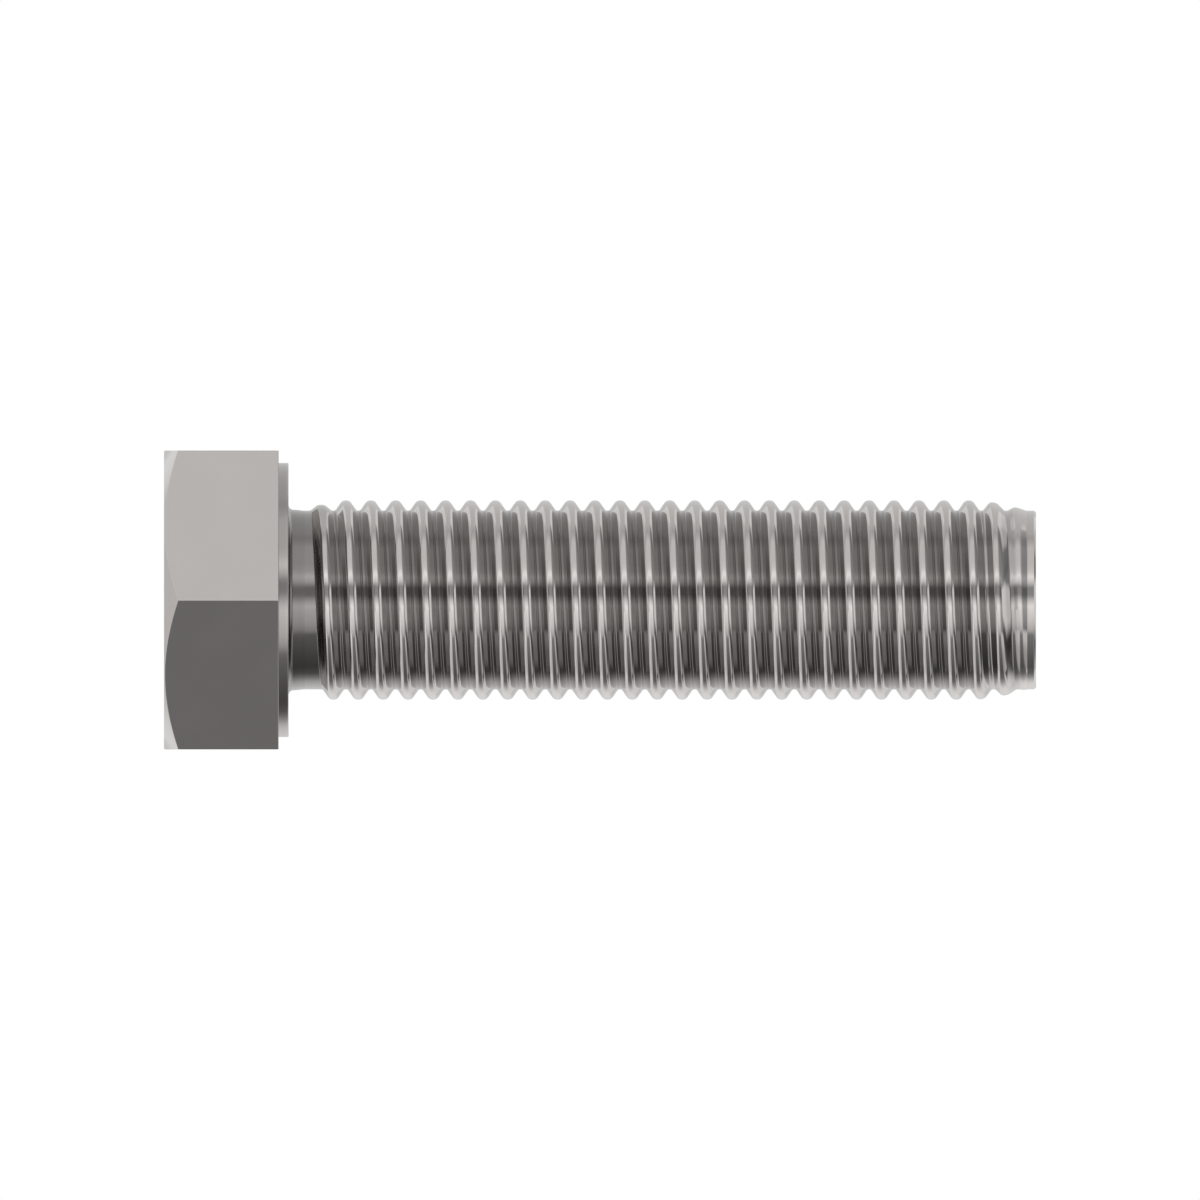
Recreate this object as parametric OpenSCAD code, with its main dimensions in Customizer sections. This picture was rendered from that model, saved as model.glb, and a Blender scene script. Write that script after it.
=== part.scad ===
// Hex bolt, fully threaded, with a washer face forged under the head.
// The axis is X. The origin is the centre of the bearing face: the head lies towards -X and the
// thread runs to +X. Two flats of the head face up and down, so two of its corners lie on Y.

/* [Head] */
// Width across the flats, which is the spanner size
across_flats = 24; // [24:0.5:32]
// Head height, from the bearing face to the crown, washer face included
head_height = 10; // [7:0.5:14]
// Diameter of the flat crown inside the chamfer
crown_d = 23.8; // [18:0.1:24]
// Slope of the chamfer on the crown, measured from the crown's plane
crown_angle = 30; // [15:1:35]
// Diameter of the washer face under the head
washer_face_d = 22; // [19:0.5:24]
// Height of the washer face
washer_face_h = 0.8; // [0.3:0.1:1.2]

/* [Shank] */
// Nominal length, from the bearing face to the point
length = 60; // [20:1:65]
// Diameter of the plain neck under the head
neck_d = 14.5; // [14.5:0.1:15]
// Radius of the fillet between the neck and the bearing face
neck_fillet = 0.4; // [0.3:0.05:1]
// Distance from the bearing face to where the thread starts to rise
neck_length = 1.3; // [1.2:0.1:3]
// Bevel on the edge of the point
point_bevel = 0.15; // [0.05:0.05:0.4]

/* [Thread] */
// Major diameter, over the crests
thread_d = 16; // [15.8:0.05:16.2]
// Minor diameter, at the bottom of the thread
root_d = 14.35; // [14.2:0.05:14.5]
// Pitch of the right-hand thread
pitch = 2; // [2:0.05:2.5]
// Width of a crest, before its edges are rounded
crest_flat = 0.55; // [0.3:0.05:0.55]
// Turns over which the ridge grows from nothing to full height at the head end
rise_turns = 0.4; // [0.2:0.1:2]
// Angle at which the thread starts, from +Y towards +Z
thread_start = 36; // [0:6:354]
// Length of the lead at the point, where the crests shrink into the root
lead_length = 4.4; // [2:0.2:8]
// Curve of the lead: 1 is a straight taper, and more is rounder
lead_power = 1.7; // [1:0.1:3]
// Straight facets in one turn
turn_facets = 36; // [16:4:40]

/* [Hidden] */

STEEL = "#b7b1ad";
THREAD_STEEL = "#a39e9b";
ROUND = 96; // facets of a full circle
HEX = 6; // sides of the head

// Head
corner_r = across_flats / 2 / cos(180 / HEX);
cut_r = corner_r + 1; // the cone that cuts the chamfer reaches past the corners
hex_h = head_height - washer_face_h;
seat_r = neck_d / 2 + neck_fillet; // where the fillet under the head meets the bearing face

// Thread form: sloping flanks, a flat crest and a root that one arc rounds from flank to flank
flank_angle = 35; // from the plane across the axis
crest_r = thread_d / 2;
root_r = root_d / 2;
thread_depth = crest_r - root_r;
root_half = (pitch - crest_flat) / 2 - thread_depth * tan(flank_angle);
root_edge = root_half * (1 + sin(flank_angle)); // where the root's arc meets the flank
root_rise = root_half * cos(flank_angle);

// Points across one pitch, as [distance from the root line, height above the root]
FORM = [
    [0, 0],
    [root_edge, root_rise],
    [(pitch - crest_flat) / 2, thread_depth],
    [(pitch + crest_flat) / 2, thread_depth],
    [pitch - root_edge, root_rise],
    [pitch, 0]
];
rows_per_pitch = len(FORM) - 1;

// The thread fills whole pitches, and the point takes what is left of the length
pitches = floor((length - neck_length - point_bevel) / pitch);
thread_end = neck_length + pitches * pitch;
// Rows up to rib_rows follow the helix. The last ones close up on the flat end instead
rib_rows = (pitches - 1) * rows_per_pitch;
last_row = rib_rows + rows_per_pitch;

// How much of its height the ridge has after a number of turns, from 0 to 1
function growth(turn) =
    turn <= 0 ? 0 :
    turn >= rise_turns ? 1 :
    sin(90 * turn / rise_turns);

// How much of its height the ridge has at a distance x from the bearing face, from 0 to 1
function lead(x) =
    x <= thread_end - lead_length ? 1 :
    x >= thread_end ? 0 :
    1 - pow((x - thread_end + lead_length) / lead_length, lead_power);

// Height of the ridge above the root at a distance x and a share of a turn
function ridge(x, share) =
    let (
        along = (x - neck_length) / pitch - share,
        turn = floor(along),
        height = lookup((along - turn) * pitch, FORM)
    )
    height * growth(turn + share) * lead(x);

// Distance from the bearing face of row j at a share of a turn
function row_x(j, share) =
    j <= rib_rows
    ? neck_length + pitch * (floor(j / rows_per_pitch) + share) + FORM[j % rows_per_pitch][0]
    : thread_end - (pitch - FORM[j - rib_rows][0]) * (1 - share);

// A point at distance x and a height above the root
function shank_point(x, share, height) =
    let (a = thread_start + 360 * share)
    [x, (root_r + height) * cos(a), (root_r + height) * sin(a)];

// Turns a profile drawn as [radius, distance along X] about the X axis
module turned() {
    rotate([0, 90, 0]) rotate_extrude($fn = ROUND) children();
}

// Hexagonal prism whose crown is cut by a cone, so that each flat ends in an arc
module hex_head() {
    color(STEEL)
    translate([-washer_face_h, 0, 0])
    intersection() {
        rotate([0, -90, 0]) rotate(90) linear_extrude(hex_h) circle(corner_r, $fn = HEX);
        turned() polygon([
            [0, 0],
            [cut_r, 0],
            [cut_r, (cut_r - crown_d / 2) * tan(crown_angle) - hex_h],
            [crown_d / 2, -hex_h],
            [0, -hex_h]
        ]);
    }
}

// Flat ring that bears on the work, around the foot of the neck
module washer_face() {
    color(STEEL)
    turned() polygon([
        [seat_r, 0],
        [washer_face_d / 2, 0],
        [washer_face_d / 2, -washer_face_h],
        [seat_r, -washer_face_h]
    ]);
}

// Foot inside the washer face, then a fillet, a plain land and a short cone down to the root
module neck() {
    land_end = (neck_fillet + neck_length) / 2;
    color(STEEL)
    turned() difference() {
        polygon([
            [0, -washer_face_h],
            [seat_r, -washer_face_h],
            [seat_r, neck_fillet],
            [neck_d / 2, neck_fillet],
            [neck_d / 2, land_end],
            [root_r, neck_length],
            [0, neck_length]
        ]);
        translate([seat_r, neck_fillet]) circle(neck_fillet, $fn = ROUND);
    }
}

// The two triangles of a four-sided patch
function patch(a, b, c, d) = [[a, b, c], [a, c, d]];

// Right-hand thread. The points stand in rows that follow the helix, and the end of each row
// meets the start of the row one pitch further on. The ring closes the end under the head.
module threaded_shank() {
    facets = [0 : turn_facets - 1];
    last = turn_facets - 1;
    grid = [
        for (j = [0 : last_row], i = facets)
            let (share = i / turn_facets, x = row_x(j, share))
            shank_point(x, share, ridge(x, share))
    ];
    ring = [for (i = facets) shank_point(neck_length, i / turn_facets, 0)];
    ring_start = len(grid);
    apex = last_row * turn_facets;
    function at(j, i) = i <= last ? j * turn_facets + i : (j + rows_per_pitch) * turn_facets;

    ribs = [
        for (j = [0 : rib_rows - 1], i = facets)
            each patch(at(j, i), at(j + 1, i), at(j + 1, i + 1), at(j, i + 1))
    ];
    run_out = [
        for (j = [rib_rows : last_row - 1])
            each [
                for (i = [0 : last - 1])
                    each patch(at(j, i), at(j + 1, i), at(j + 1, i + 1), at(j, i + 1)),
                [at(j, last), at(j + 1, last), apex]
            ]
    ];
    run_in = [
        [at(0, 0), at(0, 1), ring_start + 1],
        for (i = [1 : last - 1])
            each patch(ring_start + i, at(0, i), at(0, i + 1), ring_start + i + 1),
        [ring_start + last, at(0, last), at(rows_per_pitch, 0)],
        for (j = [rows_per_pitch : -1 : 1]) [ring_start + last, at(j, 0), at(j - 1, 0)]
    ];
    ends = [
        [at(0, 0), for (i = [1 : last]) ring_start + i],
        [for (i = [last : -1 : 0]) at(last_row, i)]
    ];
    color(THREAD_STEEL)
    polyhedron(points = concat(grid, ring), faces = concat(ribs, run_out, run_in, ends));
}

// Plain end at the root diameter, with its edge broken
module point() {
    color(THREAD_STEEL)
    turned() polygon([
        [0, thread_end],
        [root_r, thread_end],
        [root_r, length - point_bevel],
        [root_r - point_bevel, length],
        [0, length]
    ]);
}

hex_head();
washer_face();
neck();
threaded_shank();
point();
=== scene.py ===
"""Hex bolt, fully threaded: its visible pieces, their steel finishes and a plain studio.

The bolt's axis is X. The head lies towards -X of the bearing face and the thread runs to +X.
Every piece is a closed surface worked out on a grid of two parameters. Lengths are in metres.
"""

import bpy
import numpy as np
from bpy.props import FloatProperty, FloatVectorProperty, IntProperty, PointerProperty
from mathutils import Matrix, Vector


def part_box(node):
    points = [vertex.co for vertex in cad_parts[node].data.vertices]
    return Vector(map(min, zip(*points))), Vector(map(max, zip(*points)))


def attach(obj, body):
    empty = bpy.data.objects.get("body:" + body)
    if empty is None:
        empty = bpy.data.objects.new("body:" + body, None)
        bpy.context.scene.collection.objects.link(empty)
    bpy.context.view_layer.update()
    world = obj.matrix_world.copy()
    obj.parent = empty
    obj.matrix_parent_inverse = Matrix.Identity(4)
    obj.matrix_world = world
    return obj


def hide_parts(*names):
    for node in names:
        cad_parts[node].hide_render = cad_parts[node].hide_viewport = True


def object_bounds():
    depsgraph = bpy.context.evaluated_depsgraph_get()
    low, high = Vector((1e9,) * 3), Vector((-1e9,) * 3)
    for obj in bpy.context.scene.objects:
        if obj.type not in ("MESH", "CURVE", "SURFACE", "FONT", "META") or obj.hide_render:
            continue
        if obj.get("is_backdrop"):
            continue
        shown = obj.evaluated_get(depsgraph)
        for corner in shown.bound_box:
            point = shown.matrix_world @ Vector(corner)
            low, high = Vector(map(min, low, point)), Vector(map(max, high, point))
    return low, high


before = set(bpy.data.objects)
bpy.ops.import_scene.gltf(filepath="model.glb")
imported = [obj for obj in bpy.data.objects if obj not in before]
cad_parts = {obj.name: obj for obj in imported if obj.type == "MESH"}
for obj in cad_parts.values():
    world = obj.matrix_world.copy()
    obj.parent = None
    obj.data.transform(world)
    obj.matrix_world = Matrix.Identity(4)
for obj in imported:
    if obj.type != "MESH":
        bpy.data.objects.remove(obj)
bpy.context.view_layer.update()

bl_info = {
    "name": "Hex Bolt",
    "version": (1, 0, 0),
    "blender": (4, 5, 0),
    "location": "3D View > Sidebar > Hex Bolt",
    "description": "Builds a fully threaded hex bolt, its steel finishes and a studio",
    "category": "Add Mesh",
}

HEAD_LOW, HEAD_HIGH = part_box("hex_head")
RIM_LOW, RIM_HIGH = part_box("washer_face")
NECK_LOW, NECK_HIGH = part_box("neck")
THREAD_LOW, THREAD_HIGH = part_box("threaded_shank")
POINT_LOW, POINT_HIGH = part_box("point")

SIDES = 6
ARC_STEPS = 6  # straight steps across one rounded edge
SUPPORT = 0.00004  # how far beside a rounded edge the flat surface is pinned
SHARP = np.radians(40)  # edges that turn more than this shade sharp
FLAT_STEPS = 26  # steps across one flat of the head
CORNER_STEPS = 8  # steps round one corner of the head
TURNED_STEPS = 240  # steps round a turned piece
PLAIN_START = 0.944  # groove mark of the plain steel before the first ridge, which sets its painted shade under the head
ON_ROW = 1e-9  # keeps a point that lies on a row out of the turn before it
LENGTH = {"unit": "LENGTH", "subtype": "DISTANCE", "precision": 5}
ANGLE = {"unit": "ROTATION", "subtype": "ANGLE"}
COLOUR = {"subtype": "COLOR", "size": 3, "min": 0, "max": 1}


# ---------------------------------------------------------------- sizes and colours

class HexHeadSizes(bpy.types.PropertyGroup):
    """Sizes of the head"""
    across_flats: FloatProperty(
        name="Across flats", description="Spanner size",
        default=HEAD_HIGH.z - HEAD_LOW.z, **LENGTH)
    crown_diameter: FloatProperty(
        name="Crown diameter", description="Flat circle inside the chamfer",
        default=0.0238, **LENGTH)
    chamfer: FloatProperty(
        name="Chamfer", description="Slope of the chamfer from the crown",
        default=np.radians(30), **ANGLE)
    edge_radius: FloatProperty(
        name="Edge radius", description="Rounding of the edges round the head",
        default=0.00006, **LENGTH)
    corner_radius: FloatProperty(
        name="Corner radius", description="Rounding of the six corners",
        default=0.00012, **LENGTH)


class BearingSizes(bpy.types.PropertyGroup):
    """Sizes of the washer face and the neck"""
    rim_diameter: FloatProperty(
        name="Washer face", description="Diameter of the washer face",
        default=RIM_HIGH.z - RIM_LOW.z, **LENGTH)
    rim_edge: FloatProperty(
        name="Rim edge", description="Rounding of the washer face's outer edge",
        default=0.00008, **LENGTH)
    seat_diameter: FloatProperty(
        name="Fillet foot", description="Where the neck's fillet meets the bearing face",
        default=NECK_HIGH.z - NECK_LOW.z, **LENGTH)
    fillet: FloatProperty(
        name="Fillet", description="Radius between the neck and the bearing face",
        default=0.0004, **LENGTH)


class ThreadSizes(bpy.types.PropertyGroup):
    """Sizes of the thread and the point"""
    major_diameter: FloatProperty(
        name="Major diameter", description="Over the crests", default=0.016, **LENGTH)
    root_diameter: FloatProperty(
        name="Root diameter", description="At the bottom of the thread",
        default=POINT_HIGH.z - POINT_LOW.z, **LENGTH)
    pitch: FloatProperty(
        name="Pitch", description="Advance in one turn", default=0.002, **LENGTH)
    crest_width: FloatProperty(
        name="Crest width", description="Width of a crest before its edges are rounded",
        default=0.00055, **LENGTH)
    crest_radius: FloatProperty(
        name="Crest rounding", description="Rounding of both edges of a crest",
        default=0.00046, **LENGTH)
    flank_angle: FloatProperty(
        name="Flank angle", description="Slope of a flank from the plane across the axis",
        default=np.radians(35), **ANGLE)
    rise_turns: FloatProperty(
        name="Rise", description="Turns over which the ridge grows under the head",
        default=0.4)
    start_angle: FloatProperty(
        name="Start angle", description="Where the thread starts, from +Y towards +Z",
        default=np.radians(36), **ANGLE)
    lead_length: FloatProperty(
        name="Lead length", description="Where the crests shrink at the point",
        default=0.0044, **LENGTH)
    lead_power: FloatProperty(
        name="Lead curve", description="1 is a straight taper, and more is rounder",
        default=1.7)
    steps_per_turn: IntProperty(
        name="Steps per turn", description="Fineness of the helix", default=120)
    point_bevel: FloatProperty(
        name="Point bevel", description="Broken edge of the point", default=0.00015, **LENGTH)


class SteelFinishes(bpy.types.PropertyGroup):
    """Colour and gloss of the steels"""
    head_colour: FloatVectorProperty(
        name="Head", description="Colour of the head's steel",
        default=(0.50, 0.478, 0.465), **COLOUR)
    # The bearing steel is darker than the head's steel.
    bearing_colour: FloatVectorProperty(
        name="Bearing face", description="Colour of the turned steel",
        default=(0.37, 0.354, 0.344), **COLOUR)
    neck_shade_colour: FloatVectorProperty(
        name="Neck", description="Colour of the steel in the shade of the head",
        default=(0.235, 0.225, 0.219), **COLOUR)
    thread_colour: FloatVectorProperty(
        name="Thread", description="Colour of the rolled steel",
        default=(0.50, 0.48, 0.467), **COLOUR)
    head_roughness: FloatProperty(
        name="Head roughness", description="0 is a mirror", default=0.20, min=0, max=1)
    bearing_roughness: FloatProperty(
        name="Bearing roughness", description="0 is a mirror", default=0.16, min=0, max=1)
    thread_roughness: FloatProperty(
        name="Thread roughness", description="0 is a mirror", default=0.08, min=0, max=1)


class StudioSettings(bpy.types.PropertyGroup):
    """Floor, light and camera"""
    view_width: FloatProperty(
        name="View width", description="Width that the camera takes in",
        default=0.09633, **LENGTH)
    camera_distance: FloatProperty(
        name="Camera distance", description="From the bolt's axis", default=0.5, **LENGTH)
    floor_size: FloatProperty(
        name="Floor size", description="Side of the floor", default=3.0, **LENGTH)
    floor_colour: FloatVectorProperty(
        name="Floor", description="Colour of the floor", default=(0.93, 0.93, 0.93), **COLOUR)
    dome_level: FloatProperty(
        name="Dome level", description="Brightness of the white dome on the floor",
        default=1.12)
    lamp_power: FloatProperty(
        name="Lamp power", description="Power of the soft lamp overhead, in watts",
        default=1.0)
    lamp_size: FloatProperty(
        name="Lamp size", description="Diameter of the soft lamp", default=0.6, **LENGTH)
    lamp_height: FloatProperty(
        name="Lamp height", description="Above the bolt's axis", default=0.7, **LENGTH)
    lamp_forward: FloatProperty(
        name="Lamp forward", description="In front of the bolt's axis", default=0.25, **LENGTH)


# ---------------------------------------------------------------- surfaces

def unit(vectors):
    """Vectors scaled to length one."""
    return vectors / np.linalg.norm(vectors, axis=-1, keepdims=True)


def soften(corners, radius):
    """Rounds every inner corner of a profile.

    An arc of the given radius touches both sides of the corner: its points turn evenly from one
    side's normal to the other's about the arc's centre. One point on each side just outside the
    arc keeps the flat beside it flat. Gives the points, and 1 on an arc or 0 off it.
    """
    sides = np.diff(corners, axis=-2)
    lengths = np.linalg.norm(sides, axis=-1)
    ways = sides / lengths[..., None]
    way_in, way_out, corner = ways[..., :-1, :], ways[..., 1:, :], corners[..., 1:-1, :]
    turn = np.arccos(np.clip((way_in * way_out).sum(-1), -1, 1))[..., None]
    reach = radius * np.tan(turn / 2)
    ends = np.zeros(reach.shape[:-2] + (1,))
    reaches = np.concatenate([ends, reach[..., 0], ends], -1)
    pins = np.minimum(SUPPORT, (lengths - reaches[..., :-1] - reaches[..., 1:]) / 3)[..., None]
    centre = corner + unit(way_out - way_in) * radius / np.cos(turn / 2)
    start, stop = corner - way_in * reach, corner + way_out * reach
    share = np.linspace(0, 1, ARC_STEPS + 1)[:, None]
    swing = turn[..., None, :]
    arc = centre[..., None, :] + (
        np.sin((1 - share) * swing) * (start - centre)[..., None, :]
        + np.sin(share * swing) * (stop - centre)[..., None, :]
    ) / np.sin(swing)
    runs = np.concatenate([
        (start - way_in * pins[..., :-1, :])[..., None, :],
        arc,
        (stop + way_out * pins[..., 1:, :])[..., None, :],
    ], -2)
    runs = runs.reshape(runs.shape[:-3] + (-1, 2))
    points = np.concatenate([corners[..., :1, :], runs, corners[..., -1:, :]], -2)
    one_run = np.r_[0, np.ones(ARC_STEPS + 1), 0]
    edge = np.r_[0, np.tile(one_run, corner.shape[-2]), 0]
    return points, edge


def soften_after_first(corners, radius):
    """Rounds every inner corner of a profile but the first, which meets another piece."""
    points, edge = soften(corners, radius)
    run = 1 + ARC_STEPS + 3  # the first point, and those of the first corner's arc
    return np.concatenate([corners[:2], points[run:]]), np.r_[0, 0, edge[run:]]


def carried_round(profile, angles):
    """Carries a profile round the X axis.

    A point of the profile at (x, r) and an angle a goes to (x, r cos a, r sin a). The profile
    is either one for all angles or one for each.
    """
    x = np.broadcast_to(profile[..., 0], (len(angles), profile.shape[-2])).T
    r = np.broadcast_to(profile[..., 1], (len(angles), profile.shape[-2])).T
    return np.stack([x, r * np.cos(angles), r * np.sin(angles)], -1)


def rings(rows, columns):
    """Faces between closed rings of points: a quad from each point to the next one round and
    the next row along, turned so that it faces away from the axis."""
    row, column = np.meshgrid(np.arange(rows - 1), np.arange(columns), indexing="ij")
    here, beside = row * columns + column, row * columns + (column + 1) % columns
    return np.stack([here, beside, beside + columns, here + columns], -1).reshape(-1, 4)


def fan(pole, ring, outward):
    """Triangles from a pole to the points of a ring, facing -X or, with outward, +X."""
    following = np.roll(ring, -1)
    hub = np.full(len(ring), pole)
    return np.stack([hub, ring, following] if outward else [hub, following, ring], -1)


def make_piece(name, points, quads, triangles, marks):
    """Puts points, faces and marks into a mesh and its object in the scene.

    marks are named values, one for each point, or pairs, one for each corner of each face.
    """
    mesh = bpy.data.meshes.new(name)
    mesh.vertices.add(len(points))
    mesh.vertices.foreach_set("co", points.astype(np.float32).ravel())
    corners = np.concatenate([quads.ravel(), triangles.ravel()])
    counts = np.r_[np.full(len(quads), 4), np.full(len(triangles), 3)]
    mesh.loops.add(len(corners))
    mesh.loops.foreach_set("vertex_index", corners.astype(np.int32))
    mesh.polygons.add(len(counts))
    starts = np.r_[0, np.cumsum(counts)[:-1]]
    mesh.polygons.foreach_set("loop_start", starts.astype(np.int32))
    mesh.polygons.foreach_set("use_smooth", np.ones(len(counts), bool))
    for mark, values in marks.items():
        if values.ndim == 2:
            mesh.uv_layers.new(name=mark).data.foreach_set("uv", values.astype(np.float32).ravel())
        else:
            mesh.attributes.new(mark, "FLOAT", "POINT").data.foreach_set(
                "value", values.astype(np.float32))
    mesh.update(calc_edges=True)
    if mesh.validate():
        raise RuntimeError(f"{name} has faces that can't be built")
    mesh.set_sharp_from_angle(angle=SHARP)
    piece = bpy.data.objects.new(name, mesh)
    bpy.context.scene.collection.objects.link(piece)
    return piece


def turned_piece(name, profile, edge, angles):
    """A closed piece from a profile that starts and ends on the axis."""
    grid = carried_round(profile[..., 1:-1, :], angles)
    rows, columns = grid.shape[:2]
    first, last = rows * columns, rows * columns + 1
    x = profile[..., 0].reshape(-1, profile.shape[-2])[0]
    points = np.concatenate([grid.reshape(-1, 3), [[x[0], 0, 0], [x[-1], 0, 0]]])
    triangles = np.concatenate([
        fan(first, np.arange(columns), False),
        fan(last, np.arange(columns) + (rows - 1) * columns, True),
    ])
    marks = {"edge": np.r_[np.repeat(edge[1:-1], columns), 0, 0]}
    return make_piece(name, points, rings(rows, columns), triangles, marks)


def finish_piece(piece, node, material):
    """Gives a piece its steel and puts it in its node's place."""
    piece.data.materials.append(material)
    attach(piece, "root")
    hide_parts(node)


# ---------------------------------------------------------------- node materials

NOISE_ROUGHNESS = 0.55
PALE_PATCH, DARK_PATCH = 1.01, 0.99  # colour of the patches, times the steel's own
STAIN_AND_SHADE_TONE, SHINE_TONE = 0.30, 1.22  # colour at full darkening, which is marks and painted shade, and at full shine, which is painted highlight and burnish
GLOSS_CHANGE = 0.06  # how much rougher or smoother a patch is than the steel
SHINE_GLOSS = 0.3  # how much smoother the steel is where it shines: on the painted highlights of the edges and on the crest's burnish
TOOL_RINGS = 5200.0  # waves in a metre, as for every noise below
GRAIN_DEPTH, RING_DEPTH, STREAK_DEPTH = 0.0000010, 0.0000016, 0.0000005  # in metres
CROWN_SKIN = 0.00001, 0.00004  # the crown's rings fade out between these depths under it


class Nodes:
    """Adds nodes to a tree and links them in one call."""

    def __init__(self, tree):
        self.tree = tree
        tree.nodes.clear()

    def add(self, kind, inputs=None, out=0, **settings):
        """Makes a node. An input is a value, or the output of another node."""
        made = self.tree.nodes.new(kind)
        for key, value in settings.items():
            setattr(made, key, value)
        for key, value in (inputs or {}).items():
            if isinstance(value, bpy.types.NodeSocket):
                self.tree.links.new(value, made.inputs[key])
            else:
                made.inputs[key].default_value = value
        return made.outputs[out] if made.outputs else None

    def math(self, operation, *values):
        """One step of arithmetic."""
        return self.add("ShaderNodeMath", dict(enumerate(values)), operation=operation)

    def product(self, first, *others):
        """Values multiplied together."""
        for other in others:
            first = self.math("MULTIPLY", first, other)
        return first

    def rest(self, share):
        """What a share leaves of one."""
        return self.math("SUBTRACT", 1.0, share)

    def split(self, vector):
        """The x, y and z of a vector."""
        made = self.tree.nodes.new("ShaderNodeSeparateXYZ")
        self.tree.links.new(vector, made.inputs[0])
        return made.outputs

    def mark(self, name):
        """A value that the piece carries at its points."""
        return self.add("ShaderNodeAttribute", out="Fac", attribute_name=name)

    def noise(self, at, scale, detail):
        """Noise from 0 to 1 at a vector, with a number of waves in a metre."""
        return self.add("ShaderNodeTexNoise", {
            "Vector": at, "Scale": scale, "Detail": detail, "Roughness": NOISE_ROUGHNESS})

    def spread(self, value, low, high, to_low=0.0, to_high=1.0):
        """Spreads low to high smoothly over another range."""
        return self.add("ShaderNodeMapRange", {
            0: value, 1: low, 2: high, 3: to_low, 4: to_high}, interpolation_type="SMOOTHSTEP")

    def tint(self, colour, share, toward):
        """Mixes a colour toward another by a share from 0 to 1."""
        return self.add("ShaderNodeMix", {0: share, 6: colour, 7: toward}, out=2,
                        data_type="RGBA")


def shade(colour, factor):
    """A colour made lighter or darker, with its alpha."""
    return tuple(min(1.0, c * factor) for c in colour) + (1.0,)


def steel(name, colour, roughness, pattern):
    """Polished steel whose colour, gloss and surface follow a pattern.

    pattern(nodes) gives four values from 0 to 1: patches of colour, darkening from marks and from
    painted shade, shine from painted highlights and burnish, and the height of the fine marks. The
    fifth is how deep the marks are.
    """
    material = bpy.data.materials.new(name)
    material.use_nodes = True
    nodes = Nodes(material.node_tree)
    patches, darkening_share, shine, marks, depth = pattern(nodes)
    body = nodes.tint(shade(colour, DARK_PATCH), patches, shade(colour, PALE_PATCH))
    # Painted shade in the thread's grooves darkens the colour here, as do stains, scratches and
    # tool rings.
    body = nodes.tint(body, darkening_share, shade(colour, STAIN_AND_SHADE_TONE))
    # Painted highlights on rounded edges and on the crest lighten the colour here, as does the
    # crest's burnish.
    body = nodes.tint(body, shine, shade(colour, SHINE_TONE))
    gloss = nodes.spread(patches, 0, 1, roughness * (1 - GLOSS_CHANGE),
                         roughness * (1 + GLOSS_CHANGE))
    gloss = nodes.math("MULTIPLY_ADD", shine, -SHINE_GLOSS * roughness, gloss)
    bump = nodes.add("ShaderNodeBump", {"Strength": 1.0, "Distance": depth, "Height": marks})
    shader = nodes.add("ShaderNodeBsdfPrincipled", {
        "Base Color": body, "Roughness": gloss, "Normal": bump, "Metallic": 1.0})
    nodes.add("ShaderNodeOutputMaterial", {"Surface": shader})
    return material


def cloudy(nodes, at, scale):
    """Soft patches from 0 to 1."""
    return nodes.spread(nodes.noise(at, scale, 5.0), 0.3, 0.7)


def tool_rings(nodes, at):
    """Rings that a lathe tool leaves: noise that changes only along the axis and away from it.
    Gives their height, and how dark they look."""
    x, y, z = nodes.split(at)
    across = nodes.add("ShaderNodeCombineXYZ", {0: 0.0, 1: y, 2: z})
    reach = nodes.add("ShaderNodeVectorMath", {0: across}, out=1, operation="LENGTH")
    ring_at = nodes.add("ShaderNodeCombineXYZ", {0: x, 1: reach, 2: 0.0})
    height = nodes.noise(ring_at, TOOL_RINGS, 2.0)
    return height, nodes.spread(height, 0.40, 0.75, 0.0, 0.10)


def forged_marks(nodes):
    """Faint patches, fine grain drawn along the axis and a few hairline scratches. The crown
    has faint tool rings instead of the grain. The rounded edges carry a painted highlight."""
    at = nodes.add("ShaderNodeTexCoord", out="Object")
    patches = cloudy(nodes, at, 260.0)
    grain_at = nodes.add(
        "ShaderNodeVectorMath", {0: at, 1: (0.14, 1.0, 1.0)}, operation="MULTIPLY")
    grain = nodes.noise(grain_at, 9000.0, 2.0)
    ring_height, ring_shade = tool_rings(nodes, at)
    skin_start, skin_end = (HEAD_LOW.x + depth for depth in CROWN_SKIN)
    crown = nodes.spread(nodes.split(at)[0], skin_start, skin_end, 1.0, 0.0)
    grain = nodes.add("ShaderNodeMix", {0: crown, 2: grain, 3: ring_height})
    scratch_at = nodes.add("ShaderNodeMapping", {
        "Vector": at, "Rotation": (0.3, 0.5, 0.9), "Scale": (60.0, 2600.0, 60.0)})
    scratches = nodes.spread(nodes.noise(scratch_at, 1.0, 1.0), 0.72, 0.80)
    marks = nodes.math("MULTIPLY_ADD", scratches, -0.8, grain)
    darkening_share = nodes.math("MULTIPLY_ADD", scratches, 0.05, nodes.product(ring_shade, crown))
    # Painted highlight: the rounded edges are lightened.
    return patches, darkening_share, nodes.product(nodes.mark("edge"), 0.3), marks, GRAIN_DEPTH


def turned_marks(nodes):
    """Fine rings cut by a tool, and faint cloudy stains. The rounded edges carry a painted
    highlight.
    """
    at = nodes.add("ShaderNodeTexCoord", out="Object")
    patches = cloudy(nodes, at, 300.0)
    ring_height, ring_shade = tool_rings(nodes, at)
    stains = nodes.spread(nodes.noise(at, 900.0, 3.0), 0.6, 0.8, 0.0, 0.09)
    darkening_share = nodes.math("ADD", stains, ring_shade)
    # Painted highlight: the rounded edges are lightened.
    return patches, darkening_share, nodes.product(nodes.mark("edge"), 0.5), ring_height, RING_DEPTH


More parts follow.
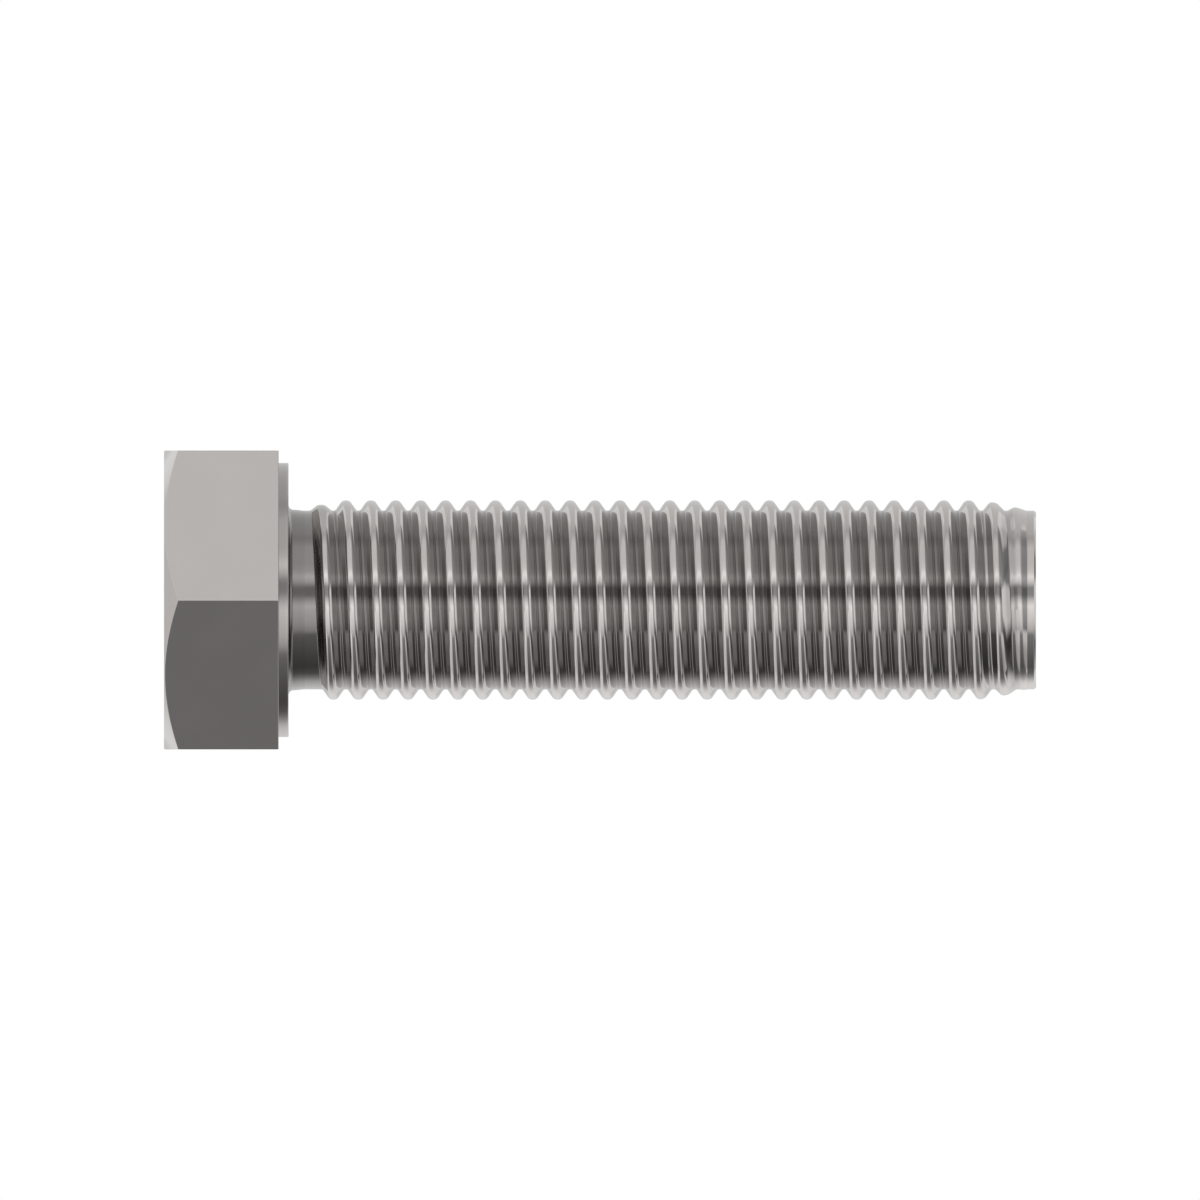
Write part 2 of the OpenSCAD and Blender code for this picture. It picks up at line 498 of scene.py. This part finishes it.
def rolled_marks(nodes):
    """Streaks along the helix, painted shade on the flanks, a dark line of painted shade in the
    root and a crest lightened partly by burnish, partly as a painted highlight.
    """
    patches = cloudy(nodes, nodes.add("ShaderNodeTexCoord", out="Object"), 420.0)
    streak_at = nodes.add("ShaderNodeVectorMath", {
        0: nodes.add("ShaderNodeUVMap", uv_map="helix"), 1: (400.0, 9000.0, 1.0)},
        operation="MULTIPLY")
    streaks = nodes.noise(streak_at, 1.0, 2.0)
    groove = nodes.mark("groove")
    # Painted shade: the flanks and, darker still, the root are darkened by the groove mark.
    flank = nodes.spread(groove, 0.08, 0.30, 0.0, 0.31)
    root = nodes.spread(groove, 0.86, 0.98, 0.0, 0.90)
    # The crest is lightened, partly as burnished streaks, partly as a painted highlight.
    crest = nodes.spread(groove, 0.0, 0.06, 1.0, 0.0)
    burnish_and_highlight = nodes.product(crest, nodes.spread(streaks, 0.4, 0.7, 0.0, 0.3))
    return patches, nodes.math("MAXIMUM", flank, root), burnish_and_highlight, streaks, STREAK_DEPTH


# ---------------------------------------------------------------- pieces

def hexagon_angles(half_width, corner_radius):
    """Angles round the head, close together at its corners, and the head's radius at each.

    Along a flat the radius is the half width over the cosine of the angle from the flat's
    middle. Round a corner it is where a ray from the axis leaves the corner's own circle.
    """
    half = np.pi / SIDES
    to_centre = (half_width - corner_radius) / np.cos(half)
    bend = half - np.arctan(np.tan(half) * (1 - corner_radius / half_width))
    pin = SUPPORT / half_width
    corner = np.linspace(-bend, bend, CORNER_STEPS + 1)
    flat = np.linspace(bend + pin, 2 * half - bend - pin, FLAT_STEPS + 1)
    around = np.r_[corner, flat]
    on_corner = to_centre * np.cos(around) + np.sqrt(
        np.maximum(corner_radius**2 - (to_centre * np.sin(around)) ** 2, 0))
    on_flat = half_width / np.cos(around - half)
    radius = np.where(around <= bend, on_corner, on_flat)
    starts = np.arange(SIDES)[:, None] * 2 * half
    return (starts + around).ravel(), np.tile(radius, SIDES)


def hex_head(sizes):
    """Crown, cone and flats of the head.

    At each angle the profile runs from the axis out to the crown's rim, down the chamfer's cone
    to the hexagon's own radius there, along the flat and back in to the axis. Where the cone
    meets a flat this leaves the arc that a chamfered hexagon has.
    """
    angles, radius = hexagon_angles(sizes.across_flats / 2, sizes.corner_radius)
    crown, under = HEAD_LOW.x, HEAD_HIGH.x
    rim = sizes.crown_diameter / 2
    same = np.ones_like(radius)
    shoulder = crown + (radius - rim) * np.tan(sizes.chamfer)
    along = np.stack([crown * same, crown * same, shoulder, under * same, under * same], -1)
    out = np.stack([0 * same, rim * same, radius, radius, 0 * same], -1)
    corners = np.stack([along, out], -1)
    profile, edge = soften(corners, sizes.edge_radius)
    return turned_piece("hex_head_steel", profile, edge, angles)


def turn_angles():
    """Even angles round a turned piece."""
    return np.linspace(0, 2 * np.pi, TURNED_STEPS, endpoint=False)


def washer_face(sizes):
    """Ring that bears on the work: a closed profile with its outer edge broken."""
    rim, seat = sizes.rim_diameter / 2, sizes.seat_diameter / 2
    back, front = RIM_LOW.x, RIM_HIGH.x
    corners = np.array([[back, seat], [back, rim], [front, rim], [front, seat]])
    profile, edge = soften_after_first(corners, sizes.rim_edge)
    grid = carried_round(profile, turn_angles())
    rows, columns = grid.shape[:2]
    here = np.arange(columns)
    beside, last = (here + 1) % columns, (rows - 1) * columns
    closing = np.stack([here + last, beside + last, beside, here], -1)
    quads = np.concatenate([rings(rows, columns), closing])
    return make_piece("washer_face_steel", grid.reshape(-1, 3), quads,
                      np.zeros((0, 3), int), {"edge": np.repeat(edge, columns)})


def neck(sizes, root):
    """Foot, fillet and a waist that eases down to the root of the thread.

    The fillet is a quarter circle that leaves the bearing face. From its end to the thread the
    radius follows half a cosine wave, level at both ends.
    """
    seat, fillet = sizes.seat_diameter / 2, sizes.fillet
    land = seat - fillet
    sweep = np.linspace(0, np.pi / 2, 3 * ARC_STEPS + 1)[1:]
    arc = np.stack([fillet * (1 - np.cos(sweep)), seat - fillet * np.sin(sweep)], -1)
    share = np.linspace(0, 1, 4 * ARC_STEPS + 1)[1:]
    waist = np.stack([fillet + (NECK_HIGH.x - fillet) * share,
                      root + (land - root) * (1 + np.cos(np.pi * share)) / 2], -1)
    profile = np.concatenate([
        [[NECK_LOW.x, 0], [NECK_LOW.x, seat], [0, seat]], arc, waist, [[NECK_HIGH.x, 0]]])
    return turned_piece("neck_steel", profile, np.zeros(len(profile)), turn_angles())


def thread_form(sizes):
    """Points across one pitch, as distance from the root line and height above the root.

    Half a pitch is a half root, a flank and a half crest. One arc rounds the whole root from
    flank to flank, another rounds the edge between flank and crest, and the second half is
    the first one mirrored.
    """
    pitch, crest = sizes.pitch, sizes.crest_width
    depth = (sizes.major_diameter - sizes.root_diameter) / 2
    root_half = (pitch - crest) / 2 - depth * np.tan(sizes.flank_angle)
    foot, edge = [root_half, 0], [(pitch - crest) / 2, depth]
    root_radius = 0.999 * root_half / np.tan((np.pi / 2 - sizes.flank_angle) / 2)
    root_arc, _ = soften(np.array([[0, 0], foot, edge]), root_radius)
    crest_arc, _ = soften(np.array([foot, edge, [pitch / 2, depth]]), sizes.crest_radius)
    half = np.concatenate([root_arc[:1], root_arc[3:-2], crest_arc[2:-2], crest_arc[-1:]])
    mirrored = np.stack([pitch - half[::-1, 0], half[::-1, 1]], -1)
    return np.concatenate([half, mirrored[1:]])


def thread_points(sizes, form):
    """Points of the thread as one strip wound round the axis, and their groove marks.

    Row j of the strip keeps one place across the pitch and follows the helix: at a share s of
    a turn it stands s pitches further along. The end of each row meets the start of the row
    one pitch on. A point's radius is the root's plus the thread form's height there, times its
    growth at the head end, which is a quarter sine wave of the turns so far, and times its lead
    at the point, which is one minus a power of the distance into the lead. The last pitch
    closes up on the flat end. A plain ring closes the head end, and two poles the flat ends.

    The groove mark is 0 on a crest and 1 in a root, and falls to 0 over the lead. It sets the
    painted shade of the thread's steel.
    """
    steps, pitch, root = sizes.steps_per_turn, sizes.pitch, sizes.root_diameter / 2
    per_pitch = len(form) - 1
    begin, end = THREAD_LOW.x, THREAD_HIGH.x
    pitches = round((end - begin) / pitch)
    ribs, last_row = (pitches - 1) * per_pitch, pitches * per_pitch

    row = np.arange(last_row + 1)[:, None]
    share = np.arange(steps) / steps
    across = form[row % per_pitch, 0]
    on_helix = begin + pitch * (row // per_pitch + share) + across
    closing = end - (pitch - np.where(row == last_row, pitch, across)) * (1 - share)
    x = np.where(row <= ribs, on_helix, closing)
    along = (x - begin) / pitch - share
    turn = np.floor(along + ON_ROW)
    height = np.interp((along - turn) * pitch, form[:, 0], form[:, 1])
    height = height * np.sin(np.pi / 2 * np.clip((turn + share) / sizes.rise_turns, 0, 1))
    into_lead = np.clip((x - end + sizes.lead_length) / sizes.lead_length, 0, 1)
    lead = 1 - into_lead**sizes.lead_power
    # Until near the end of the first turn a root keeps the plain steel's groove mark, and so a
    # lighter painted shade.
    deepening = np.clip(turn + share - 1 + sizes.rise_turns, 0, 1)
    deepest = PLAIN_START + (1 - PLAIN_START) * deepening
    groove = np.minimum(1 - height / form[:, 1].max(), deepest) * lead
    radius = root + height * lead
    angle = sizes.start_angle + 2 * np.pi * share
    cos, sin = np.cos(angle), np.sin(angle)
    strip = np.stack([x, radius * cos, radius * sin], -1).reshape(-1, 3)
    ring = np.stack([np.full(steps, begin), root * cos, root * sin], -1)
    points = np.concatenate([strip, ring, [[begin, 0, 0], [end, 0, 0]]])
    return points, np.r_[groove.ravel(), np.full(steps, PLAIN_START), 0, 0]


def thread_faces(steps, per_pitch, pitches):
    """Faces of the thread: quads between rows of the strip, and between the ring and the
    first row. Triangles close both ends of the strip, and fans the flat ends."""
    ribs, last_row, last = (pitches - 1) * per_pitch, pitches * per_pitch, steps - 1
    apex, ring_start = last_row * steps, (last_row + 1) * steps
    near_pole, far_pole = ring_start + steps, ring_start + steps + 1

    def at(j, i):
        """Index of row j at step i. The step after the last is the row one pitch on."""
        return np.where(i < steps, j * steps + i, (j + per_pitch) * steps)

    j, i = np.meshgrid(np.arange(last_row), np.arange(steps), indexing="ij")
    whole = (j < ribs) | (i < last)
    j, i = j[whole], i[whole]
    ribbon = np.stack([at(j, i), at(j, i + 1), at(j + 1, i + 1), at(j + 1, i)], -1)
    i = np.arange(1, last)
    run_in = np.stack([ring_start + i, ring_start + i + 1, at(0, i + 1), at(0, i)], -1)

    j = np.arange(ribs, last_row)
    run_out = np.stack([j * steps + last, np.full_like(j, apex), (j + 1) * steps + last], -1)
    j = np.arange(per_pitch)
    first_step = np.stack([np.full_like(j, ring_start + last), j * steps, (j + 1) * steps], -1)
    triangles = np.concatenate([
        run_out,
        first_step,
        [[0, ring_start + 1, 1], [ring_start + last, per_pitch * steps, last]],
        fan(near_pole, np.r_[0, ring_start + 1 + np.arange(last)], False),
        fan(far_pole, apex + np.arange(steps), True),
    ])
    return np.concatenate([ribbon, run_in]), triangles


def helix_map(sizes, form, rows, quads, triangles):
    """Map of the thread: the distance wound round the root, and the distance across the form.

    The row that ends a pitch begins the next one, so the faces before it take the form's whole
    width there, and one turn less.
    """
    steps, per_pitch, once = sizes.steps_per_turn, len(form) - 1, np.pi * sizes.root_diameter
    row, share = np.arange(rows)[:, None], np.arange(steps) / steps
    wound = np.r_[(row // per_pitch + share).ravel(), share, 0, 0] * once
    distance = np.r_[0, np.cumsum(np.linalg.norm(np.diff(form, axis=0), axis=1))]
    across = np.r_[np.repeat(distance[row.ravel() % per_pitch], steps),
                   -sizes.pitch * share, 0, 0]
    corners = np.concatenate([quads.ravel(), triangles.ravel()])
    helix = np.stack([wound[corners], across[corners]], -1)
    of_quads = across[quads]
    turns_over = (of_quads[:, :1] > of_quads[:, 3:]) & (of_quads[:, 3:] == 0)
    wrapped = np.zeros(len(corners), bool)
    wrapped[:quads.size] = (turns_over & (np.arange(4) >= 2)).ravel()
    helix[wrapped] += [-once, distance[-1]]
    return helix


def threaded_shank(sizes):
    """The right-hand thread, in whole pitches from the neck to the point."""
    form = thread_form(sizes)
    per_pitch = len(form) - 1
    points, groove = thread_points(sizes, form)
    pitches = round((THREAD_HIGH.x - THREAD_LOW.x) / sizes.pitch)
    quads, triangles = thread_faces(sizes.steps_per_turn, per_pitch, pitches)
    helix = helix_map(sizes, form, pitches * per_pitch + 1, quads, triangles)
    return make_piece("threaded_shank_steel", points, quads, triangles,
                      {"groove": groove, "helix": helix})


def point(sizes):
    """Plain end at the root diameter, with its edge broken."""
    root, bevel = sizes.root_diameter / 2, sizes.point_bevel
    corners = np.array([
        [POINT_LOW.x, 0], [POINT_LOW.x, root], [POINT_HIGH.x - bevel, root],
        [POINT_HIGH.x, root - bevel], [POINT_HIGH.x, 0]])
    profile, edge = soften_after_first(corners, bevel / 2)
    return turned_piece("point_steel", profile, edge, turn_angles())


# ---------------------------------------------------------------- operators

class HEXBOLT_OT_head(bpy.types.Operator):
    """Build the hexagonal head in forged steel"""
    bl_idname = "hex_bolt.head"
    bl_label = "Head"

    def execute(self, context):
        looks = context.scene.steel_finishes
        steel_made = steel("head steel", looks.head_colour, looks.head_roughness, forged_marks)
        finish_piece(hex_head(context.scene.hex_head_sizes), "hex_head", steel_made)
        return {"FINISHED"}


class HEXBOLT_OT_bearing(bpy.types.Operator):
    """Build the washer face and the neck in turned steel"""
    bl_idname = "hex_bolt.bearing"
    bl_label = "Washer face and neck"

    def execute(self, context):
        scene, looks = context.scene, context.scene.steel_finishes
        steel_made = steel(
            "bearing steel", looks.bearing_colour, looks.bearing_roughness, turned_marks)
        finish_piece(washer_face(scene.bearing_sizes), "washer_face", steel_made)
        made = neck(scene.bearing_sizes, scene.thread_sizes.root_diameter / 2)
        # The neck's darker colour is painted shade under the head.
        neck_made = steel("neck steel", looks.neck_shade_colour, looks.bearing_roughness, turned_marks)
        finish_piece(made, "neck", neck_made)
        return {"FINISHED"}


class HEXBOLT_OT_thread(bpy.types.Operator):
    """Build the threaded shank in rolled steel"""
    bl_idname = "hex_bolt.thread"
    bl_label = "Threaded shank"

    def execute(self, context):
        looks = context.scene.steel_finishes
        steel_made = steel(
            "thread steel", looks.thread_colour, looks.thread_roughness, rolled_marks)
        made = threaded_shank(context.scene.thread_sizes)
        finish_piece(made, "threaded_shank", steel_made)
        return {"FINISHED"}


class HEXBOLT_OT_point(bpy.types.Operator):
    """Build the plain point in turned steel"""
    bl_idname = "hex_bolt.point"
    bl_label = "Point"

    def execute(self, context):
        looks = context.scene.steel_finishes
        steel_made = steel(
            "point steel", looks.thread_colour, looks.thread_roughness, turned_marks)
        finish_piece(point(context.scene.thread_sizes), "point", steel_made)
        return {"FINISHED"}


# Brightness that the steel mirrors, by direction round the bolt's axis: 0 degrees is the
# front, 90 is overhead, 180 is behind and -90 is below.
STUDIO_ROUND = (
    (-180, 0.66), (-172, 0.74), (-160, 0.95), (-148, 1.10), (-138, 1.12), (-130, 0.98),
    (-120, 0.54), (-110, 0.22), (-96, 0.14), (-80, 0.18), (-56, 0.28), (-46, 0.33), (-40, 0.76),
    (-30, 1.05), (-14, 1.30), (-8, 1.46), (-2, 1.10), (6, 0.46), (16, 0.44), (23, 1.10),
    (30, 1.45), (38, 1.05), (48, 0.94), (72, 0.94), (80, 0.76), (88, 0.64), (96, 0.76),
    (120, 0.82), (150, 0.84), (166, 0.76), (180, 0.66),
)


def make_floor(scene, studio, low, centre):
    """Plain square floor under the bolt, which the steel doesn't mirror."""
    half = studio.floor_size / 2
    mesh = bpy.data.meshes.new("studio_floor")
    corners = np.array([[-1, -1, 0], [1, -1, 0], [1, 1, 0], [-1, 1, 0]]) * half
    mesh.from_pydata((corners + [centre.x, centre.y, low.z]).tolist(), [], [(0, 1, 2, 3)])
    material = bpy.data.materials.new("studio floor")
    material.use_nodes = True
    shader = material.node_tree.nodes["Principled BSDF"].inputs
    shader["Base Color"].default_value = (*studio.floor_colour, 1.0)
    shader["Roughness"].default_value = 0.9
    shader["Specular IOR Level"].default_value = 0
    mesh.materials.append(material)
    floor = bpy.data.objects.new("studio_floor", mesh)
    floor.visible_glossy = False
    scene.collection.objects.link(floor)
    floor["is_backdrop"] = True


def make_lamp(scene, studio, centre):
    """Soft round lamp above the front, aimed at the bolt. It only lights the floor."""
    lamp = bpy.data.lights.new("soft_lamp", "AREA")
    lamp.shape, lamp.size, lamp.energy = "DISK", studio.lamp_size, studio.lamp_power
    made = bpy.data.objects.new("soft_lamp", lamp)
    made.location = (centre.x, -studio.lamp_forward, studio.lamp_height)
    made.rotation_euler = (np.arctan(studio.lamp_forward / studio.lamp_height), 0, 0)
    made.visible_glossy = False
    scene.collection.objects.link(made)


def make_camera(scene, studio, centre):
    """Camera square to the bolt's axis, level with it and without perspective."""
    camera = bpy.data.cameras.new("camera")
    camera.type, camera.ortho_scale = "ORTHO", studio.view_width
    camera.clip_start, camera.clip_end = 0.01, 10
    made = bpy.data.objects.new("camera", camera)
    made.location = (centre.x, -studio.camera_distance, centre.z)
    made.rotation_euler = (np.pi / 2, 0, 0)
    scene.collection.objects.link(made)
    scene.camera = made


def round_level(nodes, y, z):
    """Brightness by the direction round the axis."""
    turn = nodes.math("ARCTAN2", z, nodes.product(y, -1.0))
    place = nodes.math("MULTIPLY_ADD", turn, 0.5 / np.pi, 0.5)
    ramp = nodes.tree.nodes.new("ShaderNodeValToRGB")
    nodes.tree.links.new(place, ramp.inputs[0])
    stops = ramp.color_ramp.elements
    top = max(level for _, level in STUDIO_ROUND)
    stops[0].color = stops[1].color = (STUDIO_ROUND[0][1] / top,) * 3 + (1.0,)
    for degrees, level in STUDIO_ROUND[1:-1]:
        stops.new(degrees / 360 + 0.5).color = (level / top,) * 3 + (1.0,)
    return nodes.product(ramp.outputs[0], top)


def mirrored_level(nodes, way):
    """Brightness that the steel mirrors in a direction: the round studio with darker ends, then
    five soft boxes over it, and a pale wall behind. Each edge is a smooth step in x, y or z."""
    x, y, z = nodes.split(way)
    left, below = nodes.product(x, -1.0), nodes.product(z, -1.0)
    sideways = nodes.math("ABSOLUTE", x)

    level_band = nodes.product(nodes.spread(z, 0.16, 0.34, 1.0, 0.0),
                               nodes.spread(below, 0.22, 0.50, 1.0, 0.0))
    left_flag = nodes.product(level_band, nodes.spread(left, 0.35, 0.60, 0.0, 0.35))
    fade = nodes.product(nodes.spread(x, 0.25, 0.50, 1.0, 0.42), nodes.rest(left_flag))
    level = nodes.product(round_level(nodes, y, z), fade)

    low_right = nodes.product(nodes.spread(x, 0.36, 0.46), nodes.spread(below, 0.1, 0.3))
    shaded = nodes.product(low_right, nodes.spread(y, 0.22, 0.30))
    low_left_box = nodes.product(
        nodes.spread(left, 0.42, 0.58), nodes.spread(left, 0.66, 0.80, 1.0, 0.45),
        nodes.spread(below, 0.12, 0.26), nodes.spread(below, 0.60, 0.85, 1.0, 0.50), 1.45)
    right_box = nodes.product(nodes.spread(x, 0.62, 0.72), level_band, 1.10)
    left_end_box = nodes.product(nodes.spread(left, 0.84, 0.90), 0.80)
    under_right_box = nodes.product(
        nodes.spread(x, 0.22, 0.38), nodes.spread(x, 0.56, 0.70, 1.0, 0.15),
        nodes.spread(below, 0.50, 0.65), nodes.spread(below, 0.72, 0.90, 1.0, 0.62),
        nodes.rest(shaded), 0.90)
    under_left_box = nodes.product(
        nodes.spread(left, 0.16, 0.34), nodes.spread(below, 0.50, 0.65),
        nodes.spread(below, 0.72, 0.90, 1.0, 0.75), 1.00)
    for box in (low_left_box, right_box, left_end_box, under_right_box, under_left_box):
        level = nodes.math("MAXIMUM", level, box)

    wall = nodes.spread(sideways, 0.58, 0.64, 1.07, 0.85)
    cut_off = nodes.product(low_right, nodes.spread(y, 0.35, 0.70, 1.0, 0.0))
    behind = nodes.product(nodes.spread(y, 0.20, 0.34), nodes.spread(sideways, 0.28, 0.38),
                           nodes.rest(cut_off))
    return nodes.add("ShaderNodeMix", {0: behind, 2: level, 3: wall})


def make_world(scene, studio):
    """White for the camera, a white dome for the floor, and for the steel a studio of soft
    boxes and dark flags."""
    world = bpy.data.worlds.new("studio")
    world.use_nodes = True
    scene.world = world
    nodes = Nodes(world.node_tree)
    mirrored = mirrored_level(nodes, nodes.add("ShaderNodeTexCoord", out="Generated"))
    rays = nodes.tree.nodes.new("ShaderNodeLightPath").outputs
    dome = nodes.add("ShaderNodeMix", {0: rays["Is Camera Ray"], 2: studio.dome_level, 3: 1.0})
    level = nodes.add("ShaderNodeMix", {0: rays["Is Glossy Ray"], 2: dome, 3: mirrored})
    shine = nodes.add("ShaderNodeBackground", {"Color": (1, 1, 1, 1), "Strength": level})
    nodes.add("ShaderNodeOutputWorld", {"Surface": shine})


class HEXBOLT_OT_studio(bpy.types.Operator):
    """Build the floor, the soft light, the world and the camera"""
    bl_idname = "hex_bolt.studio"
    bl_label = "Studio"

    def execute(self, context):
        scene, studio = context.scene, context.scene.studio_settings
        low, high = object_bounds()
        centre = (low + high) / 2
        make_floor(scene, studio, low, centre)
        make_lamp(scene, studio, centre)
        make_camera(scene, studio, centre)
        make_world(scene, studio)
        scene.view_settings.view_transform = "Standard"
        return {"FINISHED"}


class HEXBOLT_PT_sidebar(bpy.types.Panel):
    """Sizes, finishes and build buttons of the bolt"""
    bl_idname = "HEXBOLT_PT_sidebar"
    bl_label = "Hex Bolt"
    bl_space_type = "VIEW_3D"
    bl_region_type = "UI"
    bl_category = "Hex Bolt"

    def draw(self, context):
        for operator in OPERATORS:
            self.layout.operator(operator.bl_idname)
        for name, group in GROUPS.items():
            box = self.layout.box()
            box.label(text=group.__doc__)
            for key in group.__annotations__:
                box.prop(getattr(context.scene, name), key)


GROUPS = {
    "hex_head_sizes": HexHeadSizes,
    "bearing_sizes": BearingSizes,
    "thread_sizes": ThreadSizes,
    "steel_finishes": SteelFinishes,
    "studio_settings": StudioSettings,
}
OPERATORS = (HEXBOLT_OT_head, HEXBOLT_OT_bearing, HEXBOLT_OT_thread, HEXBOLT_OT_point,
             HEXBOLT_OT_studio)


def register():
    for group in GROUPS.values():
        bpy.utils.register_class(group)
    for name, group in GROUPS.items():
        setattr(bpy.types.Scene, name, PointerProperty(type=group))
    for operator in OPERATORS:
        bpy.utils.register_class(operator)
    bpy.utils.register_class(HEXBOLT_PT_sidebar)


def unregister():
    bpy.utils.unregister_class(HEXBOLT_PT_sidebar)
    for operator in reversed(OPERATORS):
        bpy.utils.unregister_class(operator)
    for name, group in GROUPS.items():
        delattr(bpy.types.Scene, name)
        bpy.utils.unregister_class(group)


def main():
    register()
    bpy.ops.hex_bolt.head()
    bpy.ops.hex_bolt.bearing()
    bpy.ops.hex_bolt.thread()
    bpy.ops.hex_bolt.point()
    bpy.ops.hex_bolt.studio()


if __name__ == "__main__":
    main()
